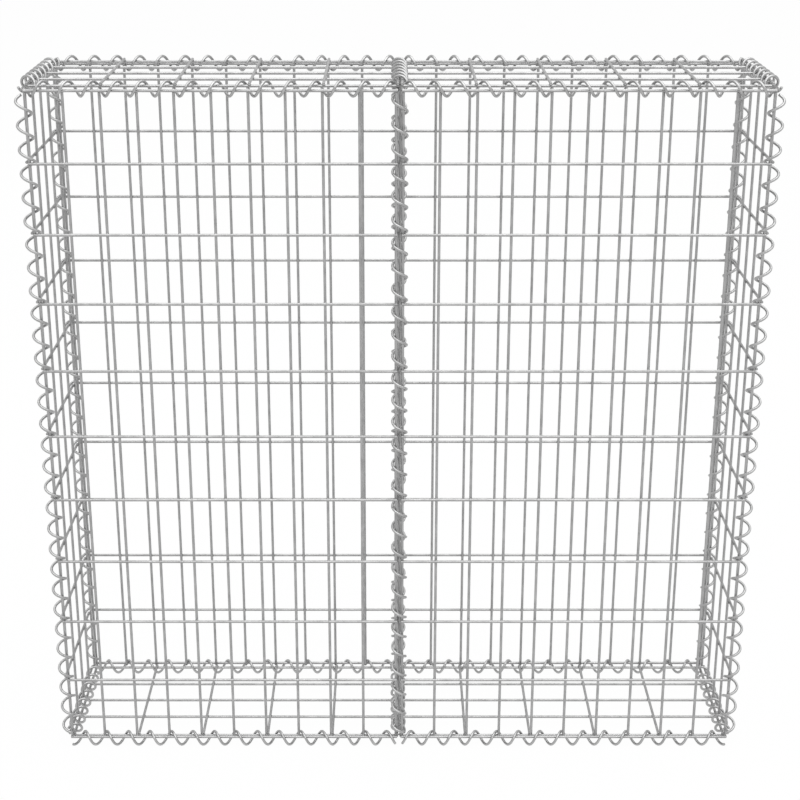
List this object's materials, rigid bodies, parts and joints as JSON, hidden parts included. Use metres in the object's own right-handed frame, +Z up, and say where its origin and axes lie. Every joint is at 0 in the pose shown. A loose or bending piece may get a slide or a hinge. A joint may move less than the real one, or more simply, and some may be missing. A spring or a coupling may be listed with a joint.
{
  "type": "gabion wall basket",
  "caption": "Empty welded-mesh gabion basket with a divider across the middle, its galvanised wire panels laced edge to edge by spiral wire binders.",
  "frame": {"origin": "on the ground under the middle of the basket", "axes": "+X along the wall to the right, +Y through the wall from front to back, +Z up"},
  "size_m": [1.0442, 0.2468, 1.0354],
  "materials": {
    "panel_wire": "hot-dip galvanised, satin",
    "binder_wire": "galvanised, satin"
  },
  "bodies": {
    "root": {"front_panel_left": "panel_wire", "front_panel_right": "panel_wire", "back_panel_left": "panel_wire", "back_panel_right": "panel_wire", "end_panel_left": "panel_wire", "end_panel_right": "panel_wire", "base_left": "panel_wire", "base_right": "panel_wire", "lid_left": "panel_wire", "lid_right": "panel_wire", "divider_panel": "panel_wire", "bottom_front_binder_left": "binder_wire", "bottom_front_binder_right": "binder_wire", "bottom_back_binder_left": "binder_wire", "bottom_back_binder_right": "binder_wire", "top_front_binder_left": "binder_wire", "top_front_binder_right": "binder_wire", "top_back_binder_left": "binder_wire", "top_back_binder_right": "binder_wire", "end_top_binder_left": "binder_wire", "end_top_binder_right": "binder_wire", "end_bottom_binder_left": "binder_wire", "end_bottom_binder_right": "binder_wire", "front_corner_binder_left": "binder_wire", "front_corner_binder_right": "binder_wire", "back_corner_binder_left": "binder_wire", "back_corner_binder_right": "binder_wire", "divider_top_binder": "binder_wire", "divider_bottom_binder": "binder_wire", "front_middle_binder": "binder_wire", "back_middle_binder": "binder_wire"}
  },
  "joints": []
}
